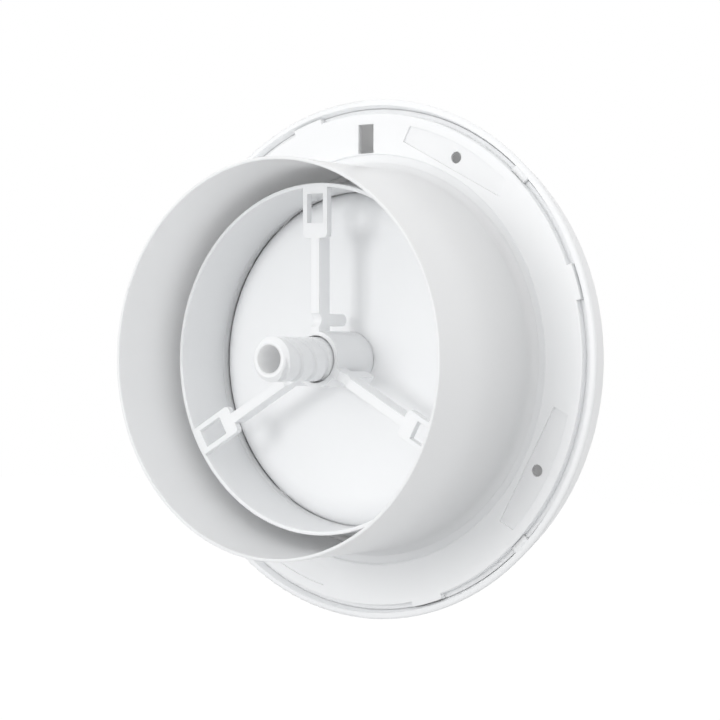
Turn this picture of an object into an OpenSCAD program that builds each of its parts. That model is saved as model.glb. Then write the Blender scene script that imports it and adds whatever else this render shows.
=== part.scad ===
// Ventilation disc valve for a 150 mm duct: a mounting collar with a spigot, a bell-mouthed
// front trim, a three-armed spider ring, and a disc that a coarse threaded stem moves in and out.
// Each piece is drawn with the valve's axis along Z and the duct side up, then tipped over so
// that the axis lies along Y, with the room at -Y and the duct at +Y. The wall plane is Y = 0.
// Angles round the valve are counted clockwise from the top, seen from the duct side.

/* [Duct spigot] */
// Outside diameter of the spigot that slides into the duct
spigot_od = 149; // [146:0.5:156]
// Wall thickness of the spigot
spigot_wall = 1.25; // [1:0.05:1.6]
// Reach of the spigot behind the wall plane
spigot_length = 62.4; // [58:0.2:80]
// Radius of the hollow curve at the spigot's foot
foot_radius = 5.9; // [5:0.1:7]
// Width of the sunk ring between the spigot and the flange's face
foot_width = 5.7; // [5:0.1:6.5]
// Depth of the sunk ring below the flange's face
foot_depth = 1.5; // [1:0.1:1.8]

/* [Flange] */
// Distance of the screw holes outside the spigot
screw_offset = 12.7; // [12:0.1:16]
// Width of the flange outside the circle of screw holes
screw_margin = 9; // [8:0.1:12]
// Thickness of the flange plate
flange_thickness = 2; // [1.8:0.1:2.4]
// Depth of the step down to the ledge that the trim sits round
ledge_drop = 2.9; // [2.4:0.1:3.4]
// Width of the tabs that carry the flange out to the trim, along the edge
tab_width = 13.8; // [8:0.2:18]
// Angle of the first tab
tab_angle = -17; // [-20:1:-14]
// Diameter of the four screw holes
screw_hole = 4.5; // [3.5:0.1:5]
// Angle of the first screw hole
screw_angle = 28.3; // [24:0.5:32]
// Depth of the recessed pad round each screw hole
pad_depth = 0.7; // [0.4:0.1:1]
// Length of a pad along the edge
pad_length = 49; // [40:1:52]
// Width of a pad across the flange
pad_width = 9.8; // [8:0.1:10.5]
// Width of the slot at the top of the flange
slot_width = 7.1; // [5:0.1:9]
// Length of the slot across the flange
slot_length = 11.3; // [8:0.1:12]

/* [Front trim] */
// Width by which the trim's rim stands outside the flange plate
rim_margin = 5.9; // [5.6:0.1:7]
// Wall thickness of the trim
trim_wall = 2.7; // [2.3:0.1:2.9]
// Reach of the trim in front of the wall plane
trim_depth = 21.5; // [19:0.5:26]
// Radius of the trim's rounded nose
nose_radius = 12.5; // [11:0.5:13.5]
// Angle by which the trim's outer wall leans in towards the front
side_taper = 18; // [16:1:20]
// Width of a lug that reaches in over the ledge
lug_width = 7.3; // [5:0.1:9]
// Angle of the first lug
lug_angle = 45; // [42:1:48]
// Gap between the ledge and the trim
trim_gap = 0.25; // [0.15:0.05:0.4]

/* [Throat and spider ring] */
// Gap between the spider ring and the inside of the spigot
ring_gap = 6.55; // [5:0.05:8]
// Wall thickness of the spider ring
ring_wall = 1.55; // [1.3:0.05:2]
// Reach of the spider ring behind the wall plane
ring_rear = 33.8; // [31:0.2:38]
// Distance of the ring's front edge behind the wall plane
ring_front = 8; // [6:0.5:10]
// Height of the trim's sleeve round the foot of the ring
sleeve_height = 5; // [3:0.5:8]
// Width of the small bevels where the ring stands on the throat
parting_bevel = 0.3; // [0.1:0.05:0.4]
// Widening of the throat from the ring to the seat
throat_flare = 0.3; // [0.1:0.05:1]
// Width of a nib that centres the disc in its seat
nib_width = 3.6; // [2:0.1:5]
// Angle of the first nib
nib_angle = -55; // [-60:1:-50]
// Number of arms
arm_count = 3; // [3:1:4]
// Thickness of an arm
arm_thickness = 4; // [3:0.2:5]
// Depth of an arm along the axis
arm_depth = 6.8; // [5:0.2:8]
// Outside width of the frame at the end of an arm
frame_width = 11.3; // [10:0.1:13]
// Thickness of the frame's bars
frame_bar = 2; // [1.6:0.1:2.4]
// Depth of the frame along the axis
frame_depth = 2.8; // [2:0.1:4]
// Length of the window in the frame
window_length = 11; // [8:0.5:12]
// Length of the solid block between the window and the arm
block_length = 5.8; // [4:0.2:8]

/* [Hub and stem] */
// Outside diameter of the threaded stem
stem_od = 16.8; // [15:0.2:18]
// Diameter of the hole through the stem
stem_bore = 10.5; // [8:0.1:11]
// Reach of the stem behind the wall plane when the disc is closed
stem_reach = 62.4; // [56:0.2:80]
// Gap between the stem and the hub
stem_clearance = 0.6; // [0.4:0.05:0.8]
// Wall thickness of the hub
hub_wall = 1.7; // [1.4:0.1:2.2]
// Distance along the axis for one turn of the thread
thread_lead = 17; // [14:1:20]
// Number of thread grooves side by side
thread_starts = 2; // [1:1:3]
// Angle by which the thread is turned round the stem
thread_phase = -61.3; // [-180:0.2:180]
// Depth of a thread groove
groove_depth = 0.85; // [0.7:0.05:1]
// Width of a thread groove at its mouth
groove_width = 3; // [2.6:0.1:3.6]
// Width of the finger on the front edge of each arm
finger_width = 4.6; // [3.6:0.2:6]
// Length of a finger in front of its arm
finger_length = 10.8; // [8:0.1:14]

/* [Disc] */
// Distance of the disc's flat back behind the wall plane when closed
disc_rear = 10; // [9:0.1:11]
// Wall thickness of the disc
disc_wall = 2; // [1.6:0.1:2.4]
// Radius of the disc's rounded shoulder
shoulder_radius = 14; // [12:0.5:18]
// Gap between the disc and the edge of its seat
seat_gap = 0.55; // [0.45:0.05:0.8]
// Radius of the bead along the disc's front edge
bead_radius = 1.4; // [1.2:0.1:1.7]
// Gap between the closed disc and the hub that stops it
stop_gap = 0.3; // [0.2:0.05:0.5]

/* [Hidden] */
$fn = 96;
// Small overlap that lets two solids of one moulding join, or a cut run out of a face
bite = 0.4;
quarter_turns = [0, 90, 180, 270];
moulding_white = [0.93, 0.94, 0.945];

// Collar
spigot_r = spigot_od / 2;
spigot_ri = spigot_r - spigot_wall;
screw_radius = spigot_r + screw_offset;
plate_r = screw_radius + screw_margin;
foot_curve_width = 2.5;
foot_curve_r = spigot_r + foot_curve_width;
foot_floor = -foot_depth;
foot_curve_z = foot_floor + sqrt(pow(foot_radius, 2) - pow(foot_radius - foot_curve_width, 2));
foot_rim_r = spigot_r + foot_width;
foot_low = foot_floor - 1.7;
foot_rim_round = 0.6;
rim_round = 0.4;
plate_foot = 2;
ledge_thickness = 1.6;
edge_round = 0.5;
pad_outer_r = screw_radius + 0.52 * pad_width;
slot_margin = 4.2;
slot_outer_r = plate_r - slot_margin;
slot_inner_r = slot_outer_r - slot_length;
slot_run_in = 2.2;
slot_run_in_height = 0.4;

// Trim: the outer wall is a line that touches the nose circle, and so is the bell mouth's
rim_r = plate_r + rim_margin;
nose_z = nose_radius - trim_depth;
nose_r = rim_r - (nose_radius - nose_z * sin(side_taper)) / cos(side_taper);
side_normal = [cos(side_taper), -sin(side_taper)];
ring_ro = spigot_ri - ring_gap;
ring_ri = ring_ro - ring_wall;
seat_r = ring_ri + throat_flare;
seat_z = 4.2;
seat_to_nose = [nose_r - seat_r, nose_z - seat_z];
bell_angle = atan2(seat_to_nose[1], seat_to_nose[0]) - asin(nose_radius / norm(seat_to_nose));
bell_normal = [sin(bell_angle), -cos(bell_angle)];
bell_run = [cos(bell_angle), sin(bell_angle)];
bell_slope = -bell_run[0] / bell_run[1];
nose = [nose_r, nose_z];
rear_round = 1;
rear_round_centre = [rim_r - rear_round * (1 + sin(side_taper)) / cos(side_taper), -rear_round];
rim_wall_r = rim_r - trim_wall / cos(side_taper);
ring_fit = 0.08;
sleeve_wall = 1.6;
throat_foot = 2 - seat_z / bell_run[1];
lug_thickness = 1.6;
lug_clearance = 0.1;
nib_height = seat_gap - 0.3;

function flank_r(z) = rim_wall_r + z * tan(side_taper);

// Hub, stem and thread
stem_r = stem_od / 2;
hub_ri = stem_r + stem_clearance;
hub_ro = hub_ri + hub_wall;
stem_chamfer = 1.65;
groove_root_r = stem_r - groove_depth;
groove_root_width = groove_width - 1.2;
thread_step = 15;
rib_clearance = 0.3;
rib_sweep = 60;

// Disc
shoulder_z = disc_rear - shoulder_radius;
disc_side_r = seat_r - seat_gap;
shoulder_r = disc_side_r - sqrt(pow(shoulder_radius, 2) - pow(seat_z - shoulder_z, 2));
bead_z = -4.4;
lip_r = shoulder_r + sqrt(pow(shoulder_radius - disc_wall, 2) - pow(bead_z - shoulder_z, 2));
bead_r = seat_r + (seat_z - bead_z) * bell_slope - 0.4 - bead_radius;
hub_front = disc_rear + stop_gap;
post_r = stem_bore / 2 - 0.06;
post_height = 14;
stem_foot = disc_rear + 0.1;

// Arms
finger_r = hub_ro + 4.2;
finger_tip = ring_rear - arm_depth - finger_length;
scoop_depth = 1.6;
scoop_radius = 2.9;
frame_inner_r = ring_ri - frame_bar - 0.5 - window_length - block_length;
window_outer_r = ring_ri - frame_bar - 0.5;

// Tips a piece drawn along Z over, so that its axis lies along Y
module tipped() {
  rotate([-90, 0, 0]) children();
}

// Turns children drawn along +X to an angle counted clockwise from the top
module at_angle(angle) {
  rotate([0, 0, -90 - angle]) children();
}

// Ring sector with a rectangular section
module sector(angle, width, r_in, r_out, z_low, z_high) {
  turn = 360 * width / (2 * PI * r_out);
  at_angle(angle)
    rotate([0, 0, -turn / 2])
      rotate_extrude(angle = turn)
        translate([r_in, z_low]) square([r_out - r_in, z_high - z_low]);
}

// Waste outside a convex corner at (x, y), where the open side lies towards (side_x, side_y)
module corner_waste(x, y, r, side_x, side_y) {
  centre_x = x - side_x * r;
  centre_y = y - side_y * r;
  difference() {
    translate([side_x > 0 ? centre_x : centre_x - r - bite, side_y > 0 ? centre_y : centre_y - r - bite])
      square(r + bite);
    translate([centre_x, centre_y]) circle(r);
  }
}

// Section of the spigot, the sunk ring round its foot, the flange, the step and the ledge
module collar_section() {
  ledge_top = -ledge_drop;
  ledge_low = ledge_top - ledge_thickness;
  difference() {
    union() {
      translate([spigot_ri, foot_low]) square([spigot_wall, spigot_length - foot_low]);
      difference() {
        translate([spigot_ri, foot_floor]) square([foot_curve_r - spigot_ri, foot_curve_z - foot_floor]);
        translate([spigot_r + foot_radius, foot_curve_z]) circle(foot_radius);
      }
      polygon([
        [spigot_ri, foot_low],
        [foot_rim_r, foot_low],
        [foot_rim_r + flange_thickness, -flange_thickness],
        [plate_r, -flange_thickness],
        [plate_r, 0],
        [foot_rim_r, 0],
        [foot_rim_r, foot_floor],
        [spigot_ri, foot_floor]
      ]);
      translate([plate_r - plate_foot, ledge_low])
        square([plate_foot, -ledge_low]);
      polygon([
        [plate_r - plate_foot, ledge_low],
        [flank_r(ledge_low) - trim_gap, ledge_low],
        [flank_r(ledge_top) - trim_gap, ledge_top],
        [plate_r - plate_foot, ledge_top]
      ]);
    }
    corner_waste(spigot_ri, foot_low, spigot_wall, -1, -1);
    corner_waste(foot_rim_r, 0, foot_rim_round, -1, 1);
    corner_waste(plate_r, 0, edge_round, 1, 1);
    corner_waste(spigot_r, spigot_length, rim_round, 1, 1);
    corner_waste(spigot_ri, spigot_length, rim_round, -1, 1);
  }
}

module collar_body() {
  difference() {
    rotate_extrude() collar_section();
    for (turn = quarter_turns)
      at_angle(screw_angle + turn) pad_and_hole();
    at_angle(0) slot_cut();
  }
}

// Recessed pad, straight on the inside and following the edge on the outside, with its hole
module pad_and_hole() {
  intersection() {
    translate([pad_outer_r - pad_width, -pad_length / 2, -pad_depth])
      cube([pad_width, pad_length, pad_depth + 1]);
    translate([0, 0, -pad_depth]) cylinder(r = pad_outer_r, h = pad_depth + 1);
  }
  translate([screw_radius, 0, -flange_thickness - 1])
    cylinder(d = screw_hole, h = flange_thickness + 2);
}

module slot_cut() {
  translate([slot_inner_r, -slot_width / 2, -flange_thickness - 1])
    cube([slot_length, slot_width, flange_thickness + 5]);
  translate([slot_inner_r - slot_run_in, -slot_width / 2, slot_run_in_height])
    cube([slot_run_in + bite, slot_width, 4]);
}

module mounting_collar() {
  color(moulding_white)
    tipped() {
      collar_body();
      for (turn = quarter_turns)
        sector(tab_angle + turn, tab_width, plate_r - 1, flank_r(-ledge_drop) - trim_gap,
          -ledge_drop - bite / 2, 0);
    }
}

// Solid inside the trim's front face, or the hollow behind it when the wall is taken off
module trim_outline(wall) {
  translate(nose) circle(nose_radius - wall);
  polygon([
    [seat_r, seat_z] - wall * bell_normal,
    nose + (nose_radius - wall) * bell_normal,
    nose,
    nose + (nose_radius - wall) * side_normal,
    [rim_r, 0] - wall * side_normal
  ]);
}

// Flaring throat behind the seat, the shoulder that the ring stands on, and its sleeve
module throat_section() {
  front = [seat_r, seat_z];
  back = front - trim_wall * bell_normal;
  bore_r = ring_ro + ring_fit;
  throat_slope = throat_flare / (ring_front - seat_z);
  polygon([
    front + throat_foot * bell_run,
    front,
    [ring_ri + parting_bevel * throat_slope, ring_front - parting_bevel],
    [ring_ri + parting_bevel, ring_front],
    [bore_r, ring_front],
    [bore_r, ring_front + sleeve_height],
    [bore_r + sleeve_wall, ring_front + sleeve_height],
    [bore_r + sleeve_wall, ring_front],
    back,
    back + throat_foot * bell_run
  ]);
}

module trim_section() {
  difference() {
    intersection() {
      trim_outline(0);
      translate([0, -trim_depth - 1]) square([rim_r + 1, trim_depth + 1]);
    }
    trim_outline(trim_wall);
    rear_corner_waste();
  }
  throat_section();
}

// Waste outside the rounded rear edge of the trim, whose centre keeps the circle touching both faces
module rear_corner_waste() {
  difference() {
    polygon([
      rear_round_centre,
      rear_round_centre + 2 * rear_round * side_normal,
      [rim_r + rear_round, rear_round],
      rear_round_centre + [0, 2 * rear_round]
    ]);
    translate(rear_round_centre) circle(rear_round);
  }
}

module front_trim() {
  color(moulding_white)
    tipped() {
      rotate_extrude() trim_section();
      for (turn = quarter_turns) {
        sector(lug_angle + turn, lug_width, plate_r + 0.15, rim_wall_r + 0.5,
          lug_clearance - ledge_drop, lug_clearance - ledge_drop + lug_thickness);
        sector(nib_angle + turn, nib_width, seat_r - nib_height, seat_r + 0.5, seat_z, seat_z + 1.2);
      }
    }
}

// Points of a ring round the sweep: the section's (r, z) turned to an angle and lifted along the lead
function helix_ring(section, angle) = [
  for (p = section) [p[0] * cos(angle), p[0] * sin(angle), p[1] + thread_lead * angle / 360]
];

// Solid that a section in (r, z), listed counter-clockwise, leaves along a helix
module helix_sweep(section, from_angle, to_angle) {
  steps = ceil((to_angle - from_angle) / thread_step);
  sides = len(section);
  points = [
    for (i = [0:steps])
      each helix_ring(section, from_angle + (to_angle - from_angle) * i / steps)
  ];
  side_faces = [
    for (i = [0:steps - 1], k = [0:sides - 1])
      let (
        a = i * sides + k,
        b = i * sides + (k + 1) % sides,
        c = b + sides,
        d = a + sides
      )
      each [[a, b, c], [a, c, d]]
  ];
  start_cap = [for (k = [sides - 1:-1:0]) k];
  end_cap = [for (k = [0:sides - 1]) steps * sides + k];
  polyhedron(points = points, faces = concat([start_cap], side_faces, [end_cap]), convexity = 8);
}

// Section of a groove, or of the rib that runs in it when it is narrowed and shortened
module thread_solid(root_r, root_width, mouth_r, mouth_width, from_z, to_z, start) {
  section = [
    [root_r, -root_width / 2],
    [mouth_r, -mouth_width / 2],
    [mouth_r, mouth_width / 2],
    [root_r, root_width / 2]
  ];
  rotate([0, 0, thread_phase + 360 * start / thread_starts])
    helix_sweep(section, 360 * from_z / thread_lead, 360 * to_z / thread_lead);
}

module threaded_stem() {
  groove_slope = (groove_width - groove_root_width) / 2 / groove_depth;
  mouth_r = stem_r + bite;
  mouth_width = groove_width + 2 * bite * groove_slope;
  color(moulding_white)
    tipped()
      difference() {
        union() {
          translate([0, 0, stem_foot])
            cylinder(r = stem_r, h = stem_reach - stem_foot - stem_chamfer);
          translate([0, 0, stem_reach - stem_chamfer])
            cylinder(r1 = stem_r, r2 = stem_r - stem_chamfer, h = stem_chamfer);
        }
        translate([0, 0, stem_foot - 1])
          cylinder(d = stem_bore, h = stem_reach);
        for (start = [0:thread_starts - 1])
          thread_solid(groove_root_r, groove_root_width, mouth_r, mouth_width,
            hub_front + 1, stem_reach + 4, start);
      }
}

// One arm, drawn along +X: blade, finger and end frame, with the scoop in its back edge
module spider_arm() {
  blade_front = ring_rear - arm_depth;
  difference() {
    union() {
      translate([hub_ri + hub_wall / 2, -arm_thickness / 2, blade_front])
        cube([frame_inner_r + bite - hub_ri - hub_wall / 2, arm_thickness, arm_depth]);
      translate([finger_r - finger_width / 2, -arm_thickness / 2, finger_tip + finger_width / 2])
        cube([finger_width, arm_thickness, blade_front - finger_tip]);
      translate([finger_r, arm_thickness / 2, finger_tip + finger_width / 2])
        rotate([90, 0, 0]) cylinder(d = finger_width, h = arm_thickness);
      end_frame();
    }
    translate([finger_r, arm_thickness, ring_rear + scoop_radius - scoop_depth])
      rotate([90, 0, 0]) cylinder(r = scoop_radius, h = 2 * arm_thickness);
  }
}

module end_frame() {
  corner = 1.6;
  translate([0, 0, ring_rear - frame_depth])
    linear_extrude(frame_depth)
      difference() {
        union() {
          translate([frame_inner_r + corner, -frame_width / 2])
            square([ring_ri + ring_wall / 2 - frame_inner_r - corner, frame_width]);
          translate([frame_inner_r, corner - frame_width / 2])
            square([corner * 2, frame_width - 2 * corner]);
          for (side = [-1, 1])
            translate([frame_inner_r + corner, side * (frame_width / 2 - corner)]) circle(corner);
        }
        translate([window_outer_r - window_length, frame_bar - frame_width / 2])
          square([window_length, frame_width - 2 * frame_bar]);
      }
}

module ring_section() {
  difference() {
    translate([ring_ri, ring_front]) square([ring_wall, ring_rear - ring_front]);
    corner_waste(ring_ri, ring_front, parting_bevel, -1, -1);
    corner_waste(ring_ro, ring_rear, rim_round, 1, 1);
    corner_waste(ring_ri, ring_rear, rim_round, -1, 1);
  }
}

module spider_ring() {
  rib_root = groove_root_r + rib_clearance;
  rib_narrow = 2 * rib_clearance;
  rib_z = (hub_front + ring_rear) / 2;
  rib_reach = thread_lead * rib_sweep / 360 / 2;
  color(moulding_white)
    tipped() {
      rotate_extrude() ring_section();
      difference() {
        union() {
          translate([0, 0, hub_front]) cylinder(r = hub_ro, h = ring_rear - hub_front);
          for (i = [0:arm_count - 1])
            at_angle(i * 360 / arm_count) spider_arm();
        }
        translate([0, 0, hub_front - 1]) cylinder(r = hub_ri, h = ring_rear);
      }
      for (start = [0:thread_starts - 1])
        thread_solid(rib_root, groove_root_width - rib_narrow, hub_ri + bite, groove_width - rib_narrow,
          rib_z - rib_reach, rib_z + rib_reach, start);
    }
}

// Bowl section: flat back, rounded shoulder and straight side, with the wall taken off inside
module disc_outline(wall) {
  intersection() {
    translate([shoulder_r, shoulder_z]) circle(shoulder_radius - wall);
    translate([shoulder_r, bead_z]) square([shoulder_radius, disc_rear - bead_z]);
  }
  translate([0, bead_z]) square([shoulder_r, disc_rear - wall - bead_z]);
}

module disc_section() {
  intersection() {
    union() {
      difference() {
        disc_outline(0);
        disc_outline(disc_wall);
      }
      translate([bead_r, bead_z]) circle(bead_radius);
      translate([lip_r, bead_z - bead_radius])
        square([bead_r - lip_r, bead_radius * 2]);
      translate([0, disc_rear - disc_wall]) square([post_r, disc_wall + post_height]);
    }
    translate([0, bead_z - bead_radius]) square([rim_r, disc_rear + post_height]);
  }
}

module valve_disc() {
  color(moulding_white)
    tipped() rotate_extrude() disc_section();
}

mounting_collar();
front_trim();
spider_ring();
threaded_stem();
valve_disc();
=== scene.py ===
"""Looks of the ventilation disc valve: white moulded plastic, soft light and the photograph's camera.

Lengths are in metres, in the same frame as the solids: +Y runs along the valve's axis into the duct.
"""
import math

import bpy
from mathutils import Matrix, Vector


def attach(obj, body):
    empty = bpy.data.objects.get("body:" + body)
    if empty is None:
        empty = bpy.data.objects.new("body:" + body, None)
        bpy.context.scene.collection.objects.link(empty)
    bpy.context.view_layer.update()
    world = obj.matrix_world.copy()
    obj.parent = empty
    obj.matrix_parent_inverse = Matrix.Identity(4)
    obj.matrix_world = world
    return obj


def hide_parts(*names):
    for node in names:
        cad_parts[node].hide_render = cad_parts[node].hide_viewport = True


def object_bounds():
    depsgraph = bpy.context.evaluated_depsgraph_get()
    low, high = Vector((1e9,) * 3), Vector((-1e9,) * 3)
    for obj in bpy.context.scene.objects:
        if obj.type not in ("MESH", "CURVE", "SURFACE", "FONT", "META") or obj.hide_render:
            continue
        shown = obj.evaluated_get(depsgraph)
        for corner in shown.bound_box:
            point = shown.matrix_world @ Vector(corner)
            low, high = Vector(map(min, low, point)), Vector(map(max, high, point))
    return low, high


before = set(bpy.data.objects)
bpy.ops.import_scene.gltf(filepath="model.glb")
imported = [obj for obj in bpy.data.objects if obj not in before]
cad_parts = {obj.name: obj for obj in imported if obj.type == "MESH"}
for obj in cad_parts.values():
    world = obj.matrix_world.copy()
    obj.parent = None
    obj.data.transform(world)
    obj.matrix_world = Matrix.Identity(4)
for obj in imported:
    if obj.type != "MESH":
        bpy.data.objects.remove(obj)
cad_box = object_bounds()

MM = 0.001
WHITE = "FFFFFF"

# Camera, fitted to the ellipses of the spigot, the ring and the trim in the photograph. Blender takes
# the width of its sensor in millimetres.
CAMERA_PLACE = Vector((-454.2, 653.7, -0.31)) * MM
CAMERA_AIM = Vector((0.5730, -0.8196, 0.0))
FOCAL_PIXELS = 2030.6
IMAGE_PIXELS = 720
SENSOR_WIDTH = 36.0
NEAR_CLIP = 0.01
FAR_CLIP = 50

# Floor: its depth below the valve, half its width, its matt colour, and the white glow laid over that
# for the camera, as a strength and a share
FLOOR_DROP = 0.42
FLOOR_HALF_WIDTH = 6.0
FLOOR_COLOUR = "C8C9CA"
FLOOR_GLOW = 1.15
FLOOR_GLOW_SHARE = 0.8

# Light: one soft box almost straight behind the valve, and an even room round it
ROOM_LEVEL = 0.90
BACKDROP_LEVEL = 1.0
KEY_PLACE = (0.30, 1.50, 0.15)
KEY_AIM = (0, 0, 0)
KEY_SIZE = 0.45
KEY_POWER = 5.2

# Threaded stem: its legs run from the foot up the outside, over the end, down the bore and back out.
# Each leg has its number of rows, its growth in radius and its growth in height.
STEM_SIZES = {
    "Radius": 8.4 * MM,
    "Foot": 10.1 * MM,
    "Lead": 17 * MM,
    "Pitch": 8.5 * MM,
    "Phase": math.radians(-61.3),
    "Groove Depth": 0.95 * MM,
    "Mouth Half Width": 1.5 * MM,
    "Root Half Width": 1.05 * MM,
}
STEM_LEGS = [
    (144, 0.0, 50.65 * MM),
    (6, -1.65 * MM, 1.65 * MM),
    (2, -1.5 * MM, 0.0),
    (8, 0.0, -52.3 * MM),
    (4, 3.15 * MM, 0.0),
]
STEM_SIDES = 168
WELD_DISTANCE = 0.001 * MM
CRISP_ANGLE = math.radians(35)

# Surface of the plastic: two whites a shade apart in slow patches, which also change the gloss, and a
# fine grain
SHADES = ("FBFCFD", "FCFDFE")
PATCH_SIZE = 28 * MM
PATCH_CONTRAST = (0.3, 0.7)
ROUGHNESS = (0.29, 0.36)
GRAIN_SIZE = 0.9 * MM
GRAIN_DEPTH = 0.05 * MM
GRAIN_STRENGTH = 0.06
EDGE_RADIUS = 0.3 * MM
THREAD_EDGE_RADIUS = 0.1 * MM
REFRACTION = 1.49

# Light that goes into the plastic: its share and how far it travels. A zone has the pair that holds
# round a radius from the valve's axis, that radius, and the distances from it where the pair fades out.
SHALLOW_SCATTER = (0.35, 3 * MM)
STEM_SCATTER = (0.2, 1.5 * MM)
SPIGOT_ZONE = ((0.65, 5.5 * MM), 0.0, (75 * MM, 78 * MM))
BORE_ZONE = ((1.0, 12 * MM), 0.0, (5.4 * MM, 5.9 * MM))
BELL_ZONE = ((1.0, 10 * MM), 82 * MM, (13 * MM, 16 * MM))


def linear(hex_colour):
    """Linear RGBA of an sRGB hex colour such as F3F5F6."""
    channels = []
    for start in (0, 2, 4):
        c = int(hex_colour[start:start + 2], 16) / 255
        channels.append(c / 12.92 if c <= 0.04045 else ((c + 0.055) / 1.055) ** 2.4)
    return (*channels, 1.0)


def add_node(tree, kind, settings=None, inputs=None):
    """Adds a node, sets its properties, then sets or links its inputs (a socket links, a value is set)."""
    node = tree.nodes.new(kind)
    for name, value in (settings or {}).items():
        setattr(node, name, value)
    for name, value in (inputs or {}).items():
        if isinstance(value, bpy.types.NodeSocket):
            tree.links.new(value, node.inputs[name])
        else:
            node.inputs[name].default_value = value
    return node


def new_material(name):
    """A material with an empty node tree."""
    material = bpy.data.materials.new(name)
    material.use_nodes = True
    material.node_tree.nodes.clear()
    return material, material.node_tree


def moulded_polypropylene(name, edge_radius, scatter, zone=None):
    """Injection-moulded white polypropylene: smooth, half glossy, with the faint flow of the mould
    and a very fine grain, so that highlights are soft and slightly uneven. Light goes into it, and
    further in the zone, so that thin walls look even and shadows on them are soft."""
    material, tree = new_material(name)
    place = add_node(tree, "ShaderNodeTexCoord").outputs["Object"]
    flow = add_node(tree, "ShaderNodeTexNoise", inputs={
        "Vector": place, "Scale": 1 / PATCH_SIZE, "Detail": 3.0, "Roughness": 0.5}).outputs["Fac"]
    grain = add_node(tree, "ShaderNodeTexNoise", inputs={
        "Vector": place, "Scale": 1 / GRAIN_SIZE, "Detail": 2.0, "Roughness": 0.5}).outputs["Fac"]
    tint, rough = [
        add_node(tree, "ShaderNodeMapRange", inputs={
            "Value": flow, "From Min": PATCH_CONTRAST[0], "From Max": PATCH_CONTRAST[1],
            "To Min": low, "To Max": high}).outputs["Result"]
        for low, high in ((0.0, 1.0), ROUGHNESS)]
    colour = add_node(tree, "ShaderNodeMix", {"data_type": "RGBA"}, {
        0: tint, 6: linear(SHADES[0]), 7: linear(SHADES[1])}).outputs[2]
    soft_edges = add_node(tree, "ShaderNodeBevel", {"samples": 4}, {"Radius": edge_radius})
    bump = add_node(tree, "ShaderNodeBump", inputs={
        "Strength": GRAIN_STRENGTH, "Distance": GRAIN_DEPTH, "Height": grain,
        "Normal": soft_edges.outputs["Normal"]})

    share, length = scatter
    if zone:
        scatter_within, middle, (near, far) = zone
        flat = add_node(tree, "ShaderNodeVectorMath", {"operation": "MULTIPLY"}, {
            0: place, 1: (1, 0, 1)}).outputs[0]
        off_axis = add_node(tree, "ShaderNodeVectorMath", {"operation": "LENGTH"}, {
            0: flat}).outputs["Value"]
        aside = add_node(tree, "ShaderNodeMath", {"operation": "SUBTRACT"}, {
            0: off_axis, 1: middle}).outputs[0]
        apart = add_node(tree, "ShaderNodeMath", {"operation": "ABSOLUTE"}, {0: aside}).outputs[0]
        share, length = [
            add_node(tree, "ShaderNodeMapRange", inputs={
                "Value": apart, "From Min": near, "From Max": far,
                "To Min": within, "To Max": beyond}).outputs["Result"]
            for within, beyond in zip(scatter_within, scatter)]

    shader = add_node(tree, "ShaderNodeBsdfPrincipled", inputs={
        "Base Color": colour, "Roughness": rough, "Normal": bump.outputs["Normal"],
        "IOR": REFRACTION, "Specular IOR Level": 0.5, "Subsurface Weight": share,
        "Subsurface Scale": length, "Subsurface Radius": (1.0, 1.0, 1.0)})
    add_node(tree, "ShaderNodeOutputMaterial", inputs={"Surface": shader.outputs["BSDF"]})
    return material


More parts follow.
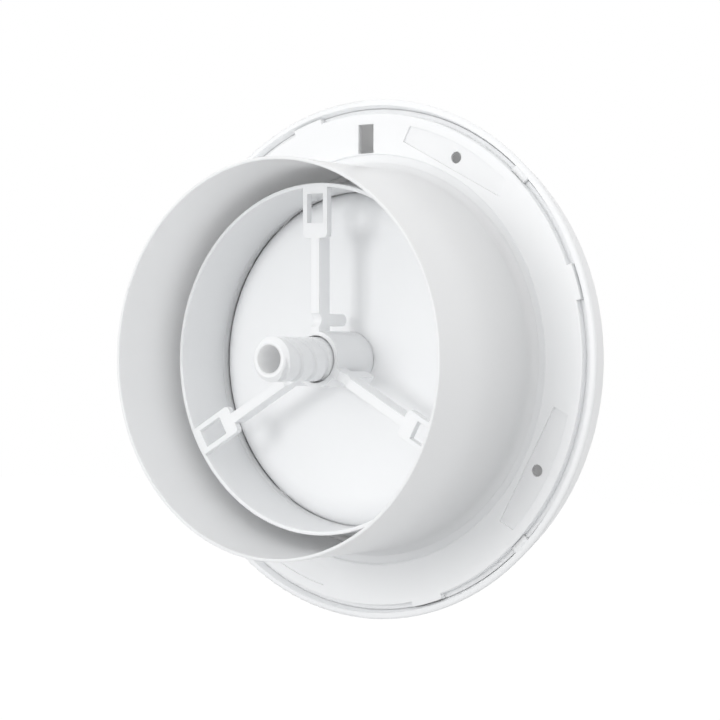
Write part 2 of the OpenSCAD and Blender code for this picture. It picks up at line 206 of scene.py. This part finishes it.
def stem_tree(material):
    """Node tree of the stem: a grid rolled round the axis, with the helical grooves pressed into it."""
    tree = bpy.data.node_groups.new("threaded_stem_form", "GeometryNodeTree")
    tree.is_modifier = True
    tree.interface.new_socket("Geometry", in_out="OUTPUT", socket_type="NodeSocketGeometry")
    for name in STEM_SIZES:
        tree.interface.new_socket(name, in_out="INPUT", socket_type="NodeSocketFloat")
    size = add_node(tree, "NodeGroupInput").outputs

    # The grid runs once round the axis in X and over all rows of the legs in Y
    rows = sum(count for count, growth, rise in STEM_LEGS)
    grid = add_node(tree, "GeometryNodeMeshGrid", inputs={
        "Size X": 1.0, "Size Y": float(rows), "Vertices X": STEM_SIDES + 1, "Vertices Y": rows + 1})
    here = add_node(tree, "GeometryNodeInputPosition").outputs[0]
    spot = add_node(tree, "ShaderNodeSeparateXYZ", inputs={0: here}).outputs
    angle = add_node(tree, "ShaderNodeMath", {"operation": "MULTIPLY"}, {
        0: spot["X"], 1: math.tau}).outputs[0]
    row = add_node(tree, "ShaderNodeMath", {"operation": "ADD"}, {
        0: spot["Y"], 1: rows / 2}).outputs[0]

    radius = size["Radius"]
    height = size["Foot"]
    first = 0
    for count, growth, rise in STEM_LEGS:
        done = add_node(tree, "ShaderNodeMapRange", inputs={
            "Value": row, "From Min": float(first), "From Max": float(first + count)}).outputs[0]
        radius = add_node(tree, "ShaderNodeMath", {"operation": "MULTIPLY_ADD"}, {
            0: done, 1: growth, 2: radius}).outputs[0]
        height = add_node(tree, "ShaderNodeMath", {"operation": "MULTIPLY_ADD"}, {
            0: done, 1: rise, 2: height}).outputs[0]
        first += count

    # A groove is as deep as its slope allows at this height above or below its middle
    turned = add_node(tree, "ShaderNodeMath", {"operation": "SUBTRACT"}, {
        0: angle, 1: size["Phase"]}).outputs[0]
    turns = add_node(tree, "ShaderNodeMath", {"operation": "DIVIDE"}, {
        0: turned, 1: math.tau}).outputs[0]
    centre = add_node(tree, "ShaderNodeMath", {"operation": "MULTIPLY"}, {
        0: turns, 1: size["Lead"]}).outputs[0]
    above = add_node(tree, "ShaderNodeMath", {"operation": "SUBTRACT"}, {
        0: height, 1: centre}).outputs[0]
    half = add_node(tree, "ShaderNodeMath", {"operation": "MULTIPLY"}, {
        0: size["Pitch"], 1: 0.5}).outputs[0]
    low = add_node(tree, "ShaderNodeMath", {"operation": "MULTIPLY"}, {0: half, 1: -1.0}).outputs[0]
    offset = add_node(tree, "ShaderNodeMath", {"operation": "WRAP"}, {
        0: above, 1: half, 2: low}).outputs[0]
    apart = add_node(tree, "ShaderNodeMath", {"operation": "ABSOLUTE"}, {0: offset}).outputs[0]
    depth = add_node(tree, "ShaderNodeMapRange", inputs={
        "Value": apart, "From Min": size["Mouth Half Width"], "From Max": size["Root Half Width"],
        "To Min": 0.0, "To Max": size["Groove Depth"]}).outputs[0]
    groove_radius = add_node(tree, "ShaderNodeMath", {"operation": "SUBTRACT"}, {
        0: size["Radius"], 1: depth}).outputs[0]
    reach = add_node(tree, "ShaderNodeMath", {"operation": "MINIMUM"}, {
        0: radius, 1: groove_radius}).outputs[0]

    cosine = add_node(tree, "ShaderNodeMath", {"operation": "COSINE"}, {0: angle}).outputs[0]
    sine = add_node(tree, "ShaderNodeMath", {"operation": "SINE"}, {0: angle}).outputs[0]
    across = add_node(tree, "ShaderNodeMath", {"operation": "MULTIPLY"}, {
        0: reach, 1: cosine}).outputs[0]
    down = add_node(tree, "ShaderNodeMath", {"operation": "MULTIPLY"}, {0: reach, 1: sine}).outputs[0]
    up = add_node(tree, "ShaderNodeMath", {"operation": "MULTIPLY"}, {0: down, 1: -1.0}).outputs[0]
    place = add_node(tree, "ShaderNodeCombineXYZ", inputs={"X": across, "Y": height, "Z": up})

    rolled = add_node(tree, "GeometryNodeSetPosition", inputs={
        "Geometry": grid.outputs[0], "Position": place.outputs[0]})
    closed = add_node(tree, "GeometryNodeMergeByDistance", inputs={
        "Geometry": rolled.outputs[0], "Distance": WELD_DISTANCE})
    smooth = add_node(tree, "GeometryNodeSetShadeSmooth", {"domain": "FACE"}, {
        "Geometry": closed.outputs[0]})
    bend = add_node(tree, "GeometryNodeInputMeshEdgeAngle").outputs["Unsigned Angle"]
    corner = add_node(tree, "FunctionNodeCompare", {"data_type": "FLOAT", "operation": "GREATER_THAN"}, {
        0: bend, 1: CRISP_ANGLE}).outputs[0]
    crisp = add_node(tree, "GeometryNodeSetShadeSmooth", {"domain": "EDGE"}, {
        "Geometry": smooth.outputs[0], "Selection": corner, "Shade Smooth": False})
    real = add_node(tree, "GeometryNodeRealizeInstances", inputs={"Geometry": crisp.outputs[0]})
    painted = add_node(tree, "GeometryNodeSetMaterial", inputs={
        "Geometry": real.outputs[0], "Material": material})
    add_node(tree, "NodeGroupOutput", inputs={"Geometry": painted.outputs[0]})
    return tree


def grow(name, tree, sizes):
    """Plain mesh object that a node tree makes from its named sizes."""
    piece = bpy.data.objects.new(name, bpy.data.meshes.new(name + "_seed"))
    bpy.context.scene.collection.objects.link(piece)
    modifier = piece.modifiers.new("form", "NODES")
    modifier.node_group = tree
    for socket in tree.interface.items_tree:
        if socket.in_out == "INPUT" and socket.name in sizes:
            modifier[socket.identifier] = sizes[socket.name]
    depsgraph = bpy.context.evaluated_depsgraph_get()
    mesh = bpy.data.meshes.new_from_object(piece.evaluated_get(depsgraph))
    piece.modifiers.remove(modifier)
    piece.data = mesh
    mesh.name = name
    return piece


def white_to_camera(name):
    """Stage surface: mostly a white glow to camera, glossy and transmission rays, else pale and matt."""
    material, tree = new_material(name)
    rays = add_node(tree, "ShaderNodeLightPath").outputs
    direct = add_node(tree, "ShaderNodeMath", {"operation": "MAXIMUM"}, {
        0: rays["Is Camera Ray"], 1: rays["Is Glossy Ray"]}).outputs[0]
    seen = add_node(tree, "ShaderNodeMath", {"operation": "MAXIMUM"}, {
        0: direct, 1: rays["Is Transmission Ray"]}).outputs[0]
    share = add_node(tree, "ShaderNodeMath", {"operation": "MULTIPLY"}, {
        0: seen, 1: FLOOR_GLOW_SHARE}).outputs[0]
    matt = add_node(tree, "ShaderNodeBsdfDiffuse", inputs={"Color": linear(FLOOR_COLOUR)}).outputs["BSDF"]
    glow = add_node(tree, "ShaderNodeEmission", inputs={
        "Color": linear(WHITE), "Strength": FLOOR_GLOW}).outputs["Emission"]
    mixed = add_node(tree, "ShaderNodeMixShader", inputs={0: share, 1: matt, 2: glow})
    add_node(tree, "ShaderNodeOutputMaterial", inputs={"Surface": mixed.outputs["Shader"]})
    return material


def paint(piece, material):
    """Gives a piece one material on all its faces."""
    piece.data.materials.clear()
    piece.data.materials.append(material)


def make_floor():
    """Plain pale floor, well below the valve."""
    low = cad_box[0].z - FLOOR_DROP
    half = FLOOR_HALF_WIDTH
    mesh = bpy.data.meshes.new("floor")
    corners = [(-half, -half, low), (half, -half, low), (half, half, low), (-half, half, low)]
    mesh.from_pydata(corners, [], [(0, 1, 2, 3)])
    floor = bpy.data.objects.new("floor", mesh)
    bpy.context.scene.collection.objects.link(floor)
    paint(floor, white_to_camera("studio_floor"))


def make_world():
    """White backdrop to camera and transmission rays, and an even pale light to all others."""
    world = bpy.data.worlds.new("studio")
    bpy.context.scene.world = world
    world.use_nodes = True
    tree = world.node_tree
    tree.nodes.clear()
    rays = add_node(tree, "ShaderNodeLightPath").outputs
    seen = add_node(tree, "ShaderNodeMath", {"operation": "MAXIMUM"}, {
        0: rays["Is Camera Ray"], 1: rays["Is Transmission Ray"]}).outputs[0]
    room, backdrop = [
        add_node(tree, "ShaderNodeBackground", inputs={
            "Color": linear(WHITE), "Strength": level}).outputs["Background"]
        for level in (ROOM_LEVEL, BACKDROP_LEVEL)]
    mixed = add_node(tree, "ShaderNodeMixShader", inputs={0: seen, 1: room, 2: backdrop})
    add_node(tree, "ShaderNodeOutputWorld", inputs={"Surface": mixed.outputs["Shader"]})


def make_lamp(name, place, aim, size, power):
    """Square soft box at a place, turned towards a point."""
    data = bpy.data.lights.new(name, "AREA")
    data.shape = "SQUARE"
    data.size = size
    data.energy = power
    lamp = bpy.data.objects.new(name, data)
    bpy.context.scene.collection.objects.link(lamp)
    lamp.location = place
    lamp.rotation_mode = "QUATERNION"
    lamp.rotation_quaternion = (Vector(aim) - Vector(place)).to_track_quat("-Z", "Y")


def make_camera():
    """The photograph's camera: level, about 35 degrees off the valve's axis."""
    data = bpy.data.cameras.new("camera")
    data.sensor_width = SENSOR_WIDTH
    data.lens = SENSOR_WIDTH * FOCAL_PIXELS / IMAGE_PIXELS
    data.clip_start = NEAR_CLIP
    data.clip_end = FAR_CLIP
    camera = bpy.data.objects.new("camera", data)
    bpy.context.scene.collection.objects.link(camera)
    camera.location = CAMERA_PLACE
    camera.rotation_mode = "QUATERNION"
    camera.rotation_quaternion = CAMERA_AIM.to_track_quat("-Z", "Y")
    bpy.context.scene.camera = camera


def main():
    bpy.context.scene.view_settings.view_transform = "Standard"
    make_camera()
    make_world()
    make_floor()
    make_lamp("soft_box_behind", KEY_PLACE, KEY_AIM, KEY_SIZE, KEY_POWER)

    # Spider ring and disc: shadows on them stay clear, with slightly soft edges
    plain_white = moulded_polypropylene("moulded_white_polypropylene", EDGE_RADIUS, SHALLOW_SCATTER)
    # Stem: sharper edges keep the grooves crisp, and light in the thin wall greys the bore evenly
    stem_white = moulded_polypropylene(
        "close_grained_white_polypropylene", THREAD_EDGE_RADIUS, STEM_SCATTER, BORE_ZONE)
    # Trim: the bell looks even and lit through, while its rim and throat stay crisp
    trim_white = moulded_polypropylene(
        "translucent_white_polypropylene", EDGE_RADIUS, SHALLOW_SCATTER, BELL_ZONE)
    # Collar: the thin spigot lets light through, and the flange stays as clear as the disc
    collar_white = moulded_polypropylene(
        "thin_walled_white_polypropylene", EDGE_RADIUS, SHALLOW_SCATTER, SPIGOT_ZONE)

    finishes = {"front_trim": trim_white, "mounting_collar": collar_white}
    for name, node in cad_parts.items():
        paint(node, finishes.get(name, plain_white))

    # The mesh taken from the tree comes without its material, so the stem is painted again
    stem = grow("fine_threaded_stem", stem_tree(stem_white), STEM_SIZES)
    paint(stem, stem_white)
    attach(stem, "stem_body")
    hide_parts("threaded_stem")


main()
